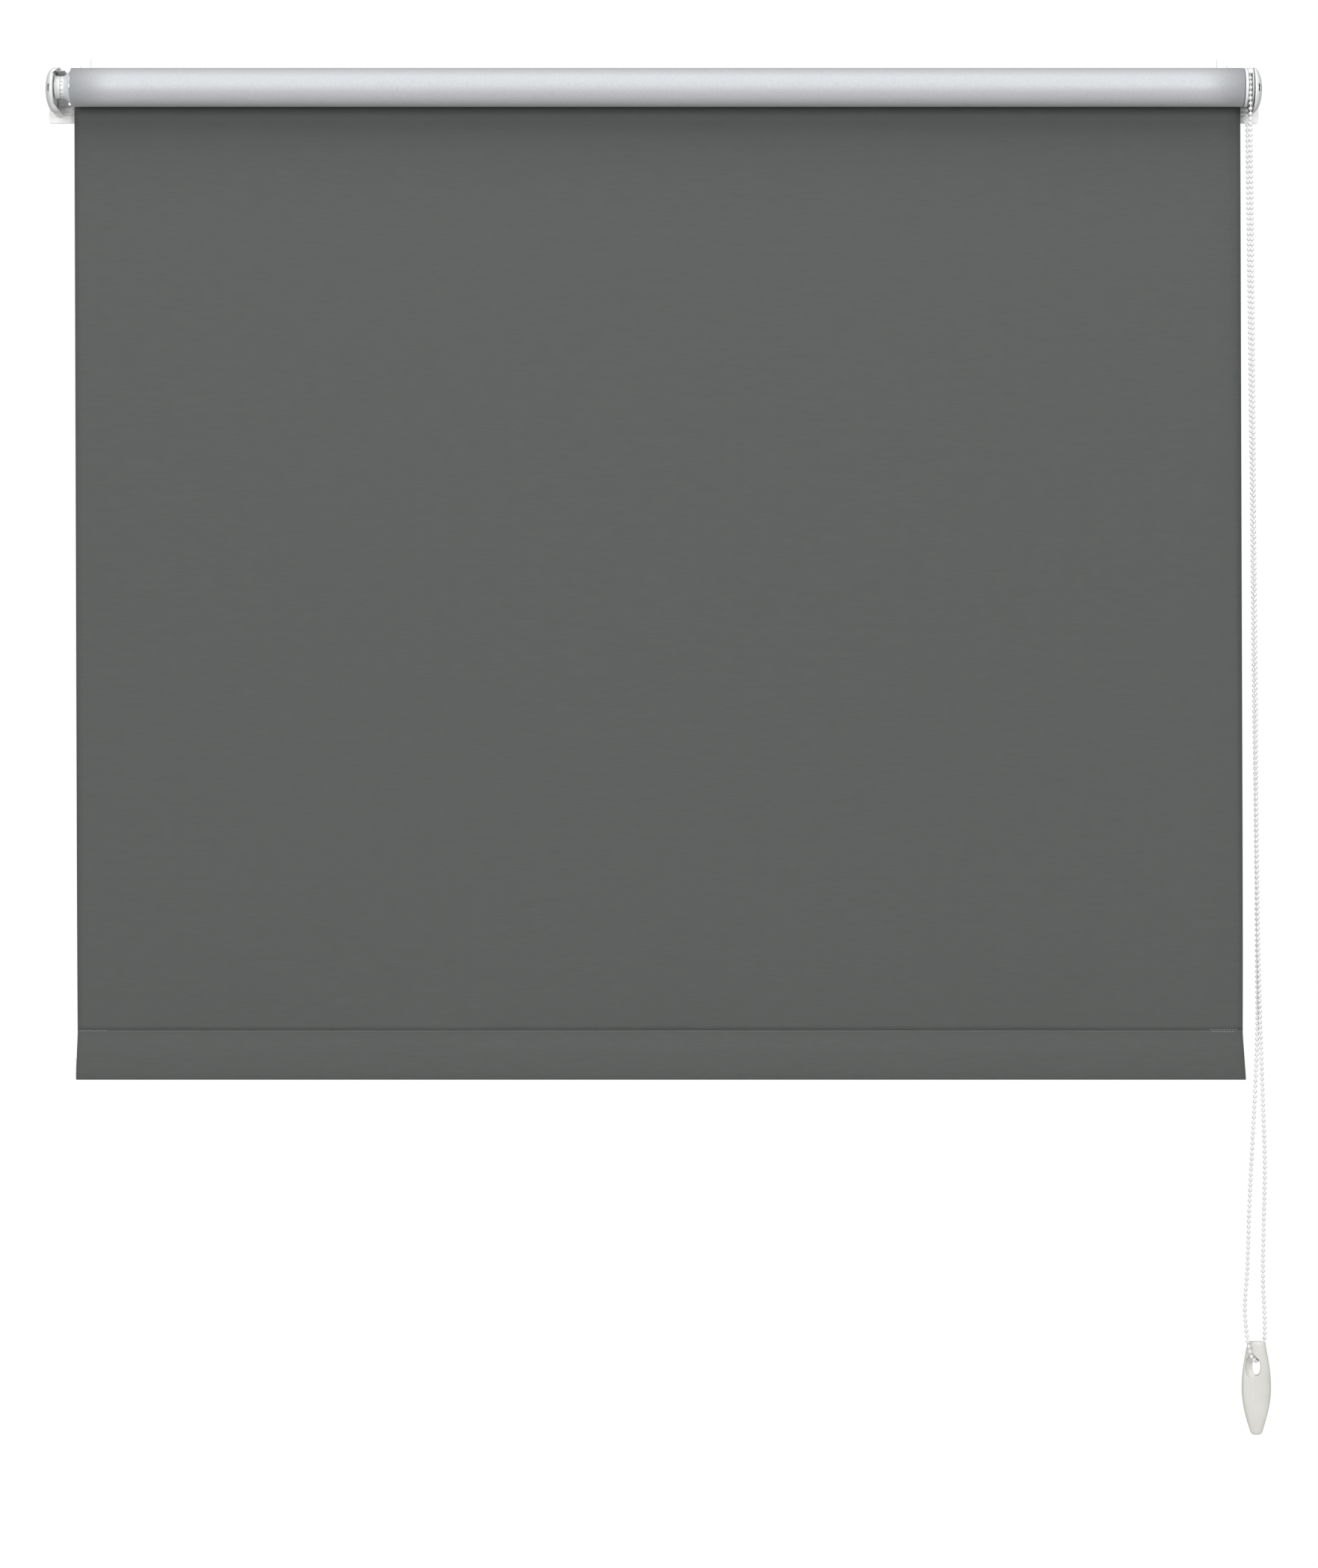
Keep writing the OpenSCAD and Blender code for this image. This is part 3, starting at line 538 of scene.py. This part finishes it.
# Cloth: one length, as three pieces: wound on the tube, hanging, and folded round the hem's bar.
cloth = {
    "thick": 0.45 * mm,
    "wrap": 11 * mm,       # stretch that lies on the roll above the point where it leaves it
    "drift": 3.6 * mm,     # the cloth tracks a little to the right as it hangs
    "dip": 7.0 * mm,       # how far the seam pulls the cloth back
    "dipHeight": 75 * mm,
    "rows": 150,
    "columns": 170,
    # how strongly the seam pulls across the width: share, waves in radians a metre, and phase
    "pull": ((0.22, 5.1, 0.6), (0.16, 13.7, 2.0), (0.10, 31, 0.4), (0.06, 67, 1.3)),
}
dropLow, dropHigh = (np.array(v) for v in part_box("fabric_drop"))
hemLow, hemHigh = (np.array(v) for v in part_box("hem_pocket"))
rollLow, rollHigh = (np.array(v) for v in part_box("fabric_roll"))
tubeLow, tubeHigh = (np.array(v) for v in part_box("tube"))
dropLength = rollMid[2] - dropLow[2]
clothWidth = dropHigh[0] - dropLow[0]
hemHeight = hemHigh[2] - hemLow[2]
barLow, barHigh = (np.array(v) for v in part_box("hem_bar"))
barDepth = hemHigh[2] - (barLow[2] + barHigh[2]) / 2  # the bar's middle below the seam
rollRadius = (rollHigh[2] - rollLow[2]) / 2
leaveRadius = dropLow[1] - rollMid[1]  # from the axis to the hanging cloth's room side


def drift(down):
    # sideways shift at a distance below the roller's axis, growing evenly
    return cloth["drift"] * np.clip(down / (dropLength + hemHeight), 0, 1)


def seamDip(x, down):
    # the cloth is drawn back towards the seam, more in some places than in others
    strength = sum((share * np.sin(rate * x + phase) for share, rate, phase in cloth["pull"]), 0.75)
    return cloth["dip"] * strength * np.exp(-np.clip(dropLength - down, 0, None) / cloth["dipHeight"])


def hangWave(x, down):
    # slow waves across the width that fade out towards the roll and the seam
    fade = ease(down / 0.5) * ease((dropLength - down) / 0.12)
    across = 0.5 * np.sin(6.3 * x + 0.9) + 0.35 * np.sin(10.9 * x + 2.1 * down)
    return fade * (across + 0.3 * np.sin(4.0 * down)) * mm


def clothPoint(x, down, offset):
    # a point of the cloth, offset from its room side: straight down below the axis,
    # and round the roll above it
    angle = np.clip(-down, 0, None) / leaveRadius
    radius = leaveRadius + offset
    y = rollMid[1] + radius * np.cos(angle) + np.where(down > 0, hangWave(x, down) + seamDip(x, down), 0)
    z = rollMid[2] + np.where(down > 0, -down, radius * np.sin(angle))
    return np.stack([x + drift(down), y, z], axis=-1)


def makeCloth():
    across = np.linspace(dropLow[0], dropHigh[0], cloth["columns"])
    wrapRows = np.linspace(-cloth["wrap"], 0, 9)[:-1]
    t = np.linspace(0, 1, cloth["rows"])
    hang = dropLength * (0.75 * t + 0.25 * np.sin(t * np.pi / 2))  # rows closer together near the seam
    x, down = np.meshgrid(across, np.concatenate([wrapRows, hang]))
    # the end on the roll thins out, so that it runs into the wound cloth
    thick = cloth["thick"] * np.clip(1 + np.minimum(down, 0) / cloth["wrap"] * 0.9, 0.1, 1)
    points, faces, side = thickSheet(clothPoint(x, down, 0 * down), clothPoint(x, down, thick))
    piece = makeMesh("hangingCloth", points, faces[:, ::-1], [clothFace, clothBack, clothEdge], side)
    evenStretch(piece)
    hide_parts("fabric_drop")
    return piece


wound = {"turnSteps": 48, "stations": 25, "slack": 0.012 * mm, "taper": 30.0}


def makeWoundCloth():
    # A spiral of the same cloth, from the tape on the tube out to the roll's face. Its radius
    # grows by one thickness and a little air each turn; the outer end is feathered.
    innerStart = (tubeHigh[2] - tubeLow[2]) / 2 + 0.16 * mm
    pitch = cloth["thick"] + wound["slack"]
    turns = (rollRadius - innerStart - cloth["thick"]) / pitch
    steps = int(turns * wound["turnSteps"])
    turn = np.linspace(0, turns, steps + 1)
    angle = 2 * np.pi * (turn - turns)  # the outer end is where the cloth leaves the roll
    inner = innerStart + pitch * turn
    feather = np.clip((turns - turn) * 360 / wound["taper"], 0.08, 1)
    outer = inner + cloth["thick"] * feather
    across = np.linspace(rollLow[0], rollHigh[0], wound["stations"])
    # turns lie a hair to one side or the other of their neighbours
    slip = 0.18 * mm * np.sin(turn * 2.3)[:, None]
    x = across[None, :] + slip * np.array([1.0] + [0.0] * (len(across) - 2) + [1.0])[None, :]
    x = np.clip(x, rollLow[0], rollHigh[0])

    def spiral(radius):
        y = rollMid[1] + radius * np.cos(angle)
        z = rollMid[2] - radius * np.sin(angle)
        return np.stack([x, np.repeat(y[:, None], len(across), 1),
                         np.repeat(z[:, None], len(across), 1)], axis=2)

    points, faces, side = thickSheet(spiral(inner), spiral(outer))
    piece = makeMesh("woundCloth", points, faces, [clothFace, clothBack, clothEdge], side)
    finishPiece(piece, "roller")
    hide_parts("fabric_roll")
    length = float(np.sum(np.linalg.norm(np.diff(spiral(inner)[:, 0], axis=0), axis=1)))
    return piece, length


hem = {
    "stations": 180,
    "flareLeft": 1.4 * mm,
    "flareRight": 3.0 * mm,
    "stitch": 2.6 * mm,
    "stitchPitch": 3.2 * mm,
    "thread": 0.22 * mm,   # radius
}
hemHalf = (hemHigh[1] - hemLow[1]) / 2
hemMidY = (hemHigh[1] + hemLow[1]) / 2


def pocketLoop(wall, top):
    # (offset from the pocket's middle plane, depth below the seam). Down the front it eases out to
    # the bar's middle, goes round the bar's lower half as an ellipse, and up the back.
    straight = np.linspace(top, barDepth, 24)
    bend = np.radians(np.linspace(0, 180, 27))[1:-1]
    half, reach = hemHalf - cloth["thick"] + wall, hemHeight - barDepth - cloth["thick"] + wall
    front = np.stack([-wall - (hemHalf - cloth["thick"]) * ease(straight / barDepth), straight], axis=1)
    under = np.stack([-half * np.cos(bend), barDepth + reach * np.sin(bend)], axis=1)
    return np.concatenate([front, under, front[::-1] * [-1, 1]])


def hemPoint(x, y, depth):
    # places a point of the pocket: it is drawn back with the cloth at the seam, straight along
    # the bar, and flares at its two ends
    down = dropLength + depth
    fade = 1 - ease(depth / (barDepth * 0.6))
    side = np.where(x < 0, -hem["flareLeft"], hem["flareRight"])
    reach = np.clip((np.abs(x - (dropLow[0] + dropHigh[0]) / 2) / (clothWidth / 2) - 0.85) / 0.15, 0, 1) ** 2
    flare = side * reach * (np.clip(depth, 0, None) / hemHeight) ** 1.5
    wave = seamDip(x, np.full_like(down, dropLength)) * fade
    return np.stack([x + drift(down) + flare, hemMidY + y + wave, dropLow[2] - depth], axis=-1)


def makeHem():
    across = np.linspace(hemLow[0], hemHigh[0], hem["stations"])
    outer, inner = pocketLoop(cloth["thick"], 0.0), pocketLoop(0.0, 1.2 * mm)
    count = len(outer)

    def skin(loop):
        x = np.repeat(across[:, None], count, axis=1)
        return hemPoint(x, np.repeat(loop[None, :, 0], len(across), 0),
                        np.repeat(loop[None, :, 1], len(across), 0))

    points = np.concatenate([skin(outer).reshape(-1, 3), skin(inner).reshape(-1, 3)])
    shell = gridFaces(len(across), count, closeColumns=True)
    size = len(across) * count
    k = np.arange(count)
    n = (k + 1) % count
    last = size - count
    left = np.stack([k, n, n + size, k + size], axis=1)
    right = np.stack([k + last, k + last + size, n + last + size, n + last], axis=1)
    faces = np.concatenate([shell, shell[:, ::-1] + size, left, right])
    side = np.repeat([0, 1, 2], [len(shell), len(shell), 2 * count])
    piece = makeMesh("hemPocketCloth", points, faces[:, ::-1], [clothFace, clothBack, clothEdge], side)
    finishPiece(piece, "hem")
    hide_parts("hem_pocket")
    return piece


def stitchRow(name, start, end, depth, material, seed):
    # A row of stitches along the seam: each is a small spindle that lies on the cloth's face
    # and sinks at both ends. Small seeded changes keep them from looking drawn with a ruler.
    rng = np.random.default_rng(seed)
    middle = np.arange(start, end, hem["stitchPitch"])
    sides, rings = 6, 5
    along = np.linspace(-1, 1, rings)
    angle = 2 * np.pi * np.arange(sides) / sides
    count = len(middle)
    jitter = rng.normal(0, 1, (count, 3))
    x = (middle[:, None, None] + hem["stitch"] / 2 * along[None, :, None] + 0 * angle
         + 0.15 * mm * jitter[:, 0, None, None])
    radius = hem["thread"] * np.sqrt(np.clip(1 - (0.92 * along) ** 2, 0, 1))[None, :, None]
    tilt = 0.12 * mm * jitter[:, 1, None, None] * along[None, :, None]
    lift = -cloth["thick"] - 0.06 * mm + 0.16 * mm * along[None, :, None] ** 2
    y = lift + radius * np.cos(angle) + 0 * x
    drop = depth + tilt + radius * np.sin(angle) + 0.06 * mm * jitter[:, 2, None, None] + 0 * x
    points = hemPoint(x, y, drop)
    face = gridFaces(rings, sides, closeColumns=True)
    ends = np.array([np.arange(sides)[::-1], (rings - 1) * sides + np.arange(sides)])
    offset = (np.arange(count) * rings * sides)[:, None, None]
    faces = (face[None] + offset).reshape(-1, 4).tolist() + (ends[None] + offset).reshape(-1, sides).tolist()
    piece = makeMesh(name, points, [f[::-1] for f in faces], [material])
    return finishPiece(piece, "hem")


hangingCloth = makeCloth()
woundCloth, woundLength = makeWoundCloth()
hemPocketCloth = makeHem()
left, right = dropLow[0], dropHigh[0]
# the seam, and the tacks that lock its two ends: name, start, end, depth, thread and seed
stitches = [stitchRow(*row) for row in (
    ("seamStitches", left + 6 * mm, right - 4 * mm, 0.9 * mm, threadDark, 5),
    ("leftTackStitches", left + 3 * mm, left + 33 * mm, 0.1 * mm, threadPale, 6),
    ("rightTackStitches", right - 37 * mm, right - 7 * mm, -0.8 * mm, threadPale, 7),
    ("rightTackStitchesLow", right - 34 * mm, right - 9 * mm, 1.6 * mm, threadPale, 8))]
print("cloth made: %.2f m hanging, %.2f m wound" % (dropLength, woundLength))


# Spring behind the idle pin, which shortens when the pin is pressed in.
pinSpring = {
    "wire": 0.5 * mm,     # radius
    "middle": 6.0 * mm,   # radius of the coil at the wire's middle
    "turns": 7,
    "turnSteps": 24,
    "sides": 8,
}


def makePinSpring():
    # a helix on the roller's axis, with a round section carried along it and closed at both ends
    low, high = (np.array(v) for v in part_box("idle_pin_spring"))
    wire, sides = pinSpring["wire"], pinSpring["sides"]
    start, end = low[0] + wire, high[0] - wire
    count = pinSpring["turns"] * pinSpring["turnSteps"] + 1
    turn = 2 * np.pi * pinSpring["turns"] * np.linspace(0, 1, count)
    out = np.stack([0 * turn, np.cos(turn), np.sin(turn)], axis=1)
    line = pinSpring["middle"] * out + [0, rollMid[1], rollMid[2]]
    line[:, 0] = np.linspace(start, end, count)
    along = np.gradient(line, axis=0)
    across = np.cross(along / np.linalg.norm(along, axis=1)[:, None], out)
    angle = 2 * np.pi * np.arange(sides) / sides
    points = line[:, None] + wire * (np.cos(angle)[None, :, None] * out[:, None]
                                     + np.sin(angle)[None, :, None] * across[:, None])
    faces = gridFaces(count, sides, closeColumns=True).tolist()
    faces += [list(range(sides))[::-1], list(range((count - 1) * sides, count * sides))]
    piece = makeMesh("pinSpring", points, faces, [springMetal])
    evenStretch(piece)
    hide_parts("idle_pin_spring")


makePinSpring()
print("pin spring made")


# The CAD nodes that are kept as they are get their finishes.
finishes = {
    "left_bracket": bracketPlastic, "right_bracket": bracketPlastic,
    "left_cover": coverPlastic, "right_cover": coverPlastic,
    "tube": tubeMetal, "fixing_tape": tapePaper, "hem_bar": barMetal, "hem_bar_caps": coverPlastic,
    "idle_pin": pinMetal, "idle_plug": innerPlastic,
    "idle_flange": coverPlastic, "idle_adjuster_ring": coverPlastic, "idle_collar": collarPlastic,
    "clutch_hub": innerPlastic, "clutch_guard": coverPlastic, "chain_wheel": coverPlastic,
    "clutch_springs": springMetal, "clutch_core": innerPlastic, "clutch_adaptor": innerPlastic,
    "hub_clip": springMetal,
}
for name, material in finishes.items():
    nodes[name].data.materials.clear()
    nodes[name].data.materials.append(material)
print("finishes given to", len(finishes), "CAD nodes")


room = {
    "floorHeight": -2.0,    # below the lowest point that the hem or the handle reaches
    "floorLow": (-2.6, -2.6),
    "floorHigh": (2.6, 1.5),
    "skyStrength": 0.34,
    "skyBelow": 0.2,        # share of that strength straight down, and straight up
    "skyAbove": 1.15,
}
# One wide soft light high in front, and one at each side that faces the cloth: place, target and
# size in metres, and power in watts.
lights = {
    "top": ((0, -1.9, 2.5), (0, 0, -0.2), (6.0, 2.4), 84.0),
    "left": ((-1.9, -3.7, 0.3), (0, 0, -0.3), (1.4, 1.5), 62.0),
    "right": ((1.9, -3.7, 0.3), (0, 0, -0.3), (1.4, 1.5), 62.0),
}


def makeFloor():
    mesh = bpy.data.meshes.new("floor")
    low, high, z = room["floorLow"], room["floorHigh"], room["floorHeight"]
    mesh.from_pydata([(low[0], low[1], z), (high[0], low[1], z), (high[0], high[1], z), (low[0], high[1], z)],
                     [], [(0, 1, 2, 3)])
    floor = bpy.data.objects.new("floor", mesh)
    bpy.context.scene.collection.objects.link(floor)
    mesh.materials.append(mouldedPlastic("paintedFloor", "#E9E9E7", "#EFEFED", 0.7, grain=2.0, relief=0.02))


def makeLight(name, place, target, size, power):
    light = bpy.data.lights.new(name, "AREA")
    light.shape, light.size, light.size_y = "RECTANGLE", size[0], size[1]
    light.energy = power
    lamp = bpy.data.objects.new(name, light)
    lamp.location = place
    aim = np.array(target) - np.array(place)
    flat = math.hypot(aim[0], aim[1])
    lamp.rotation_euler = (math.atan2(flat, -aim[2]), 0, math.atan2(-aim[0], aim[1]))
    bpy.context.scene.collection.objects.link(lamp)


def makeSky():
    # white to the eye; as light it is brighter from above than from below
    world = bpy.data.worlds.new("studio")
    bpy.context.scene.world = world
    world.use_nodes = True
    tree = world.node_tree
    tree.nodes.clear()
    place = addNode(tree, "ShaderNodeTexCoord").outputs["Generated"]
    height = addNode(tree, "ShaderNodeSeparateXYZ", None, {"Vector": place}).outputs["Z"]
    shares = {"From Min": -1.0, "From Max": 1.0, "To Min": room["skyBelow"], "To Max": room["skyAbove"]}
    glow = addNode(tree, "ShaderNodeMapRange", shares, {"Value": height})
    power = addNode(tree, "ShaderNodeMath", {1: room["skyStrength"]}, {0: glow.outputs["Result"]},
                    operation="MULTIPLY")
    light = addNode(tree, "ShaderNodeBackground", {"Color": (1, 1, 1, 1)}, {"Strength": power.outputs[0]})
    seen = addNode(tree, "ShaderNodeBackground", {"Color": (1, 1, 1, 1), "Strength": 1.0})
    ray = addNode(tree, "ShaderNodeLightPath").outputs["Is Camera Ray"]
    both = addNode(tree, "ShaderNodeMixShader", None,
                   {0: ray, 1: light.outputs[0], 2: seen.outputs[0]})
    addNode(tree, "ShaderNodeOutputWorld", None, {"Surface": both.outputs[0]})


makeFloor()
for name, setting in lights.items():
    makeLight(name, *setting)
makeSky()
bpy.context.scene.view_settings.view_transform = "Standard"
print("room and light made")

bpy.context.view_layer.update()
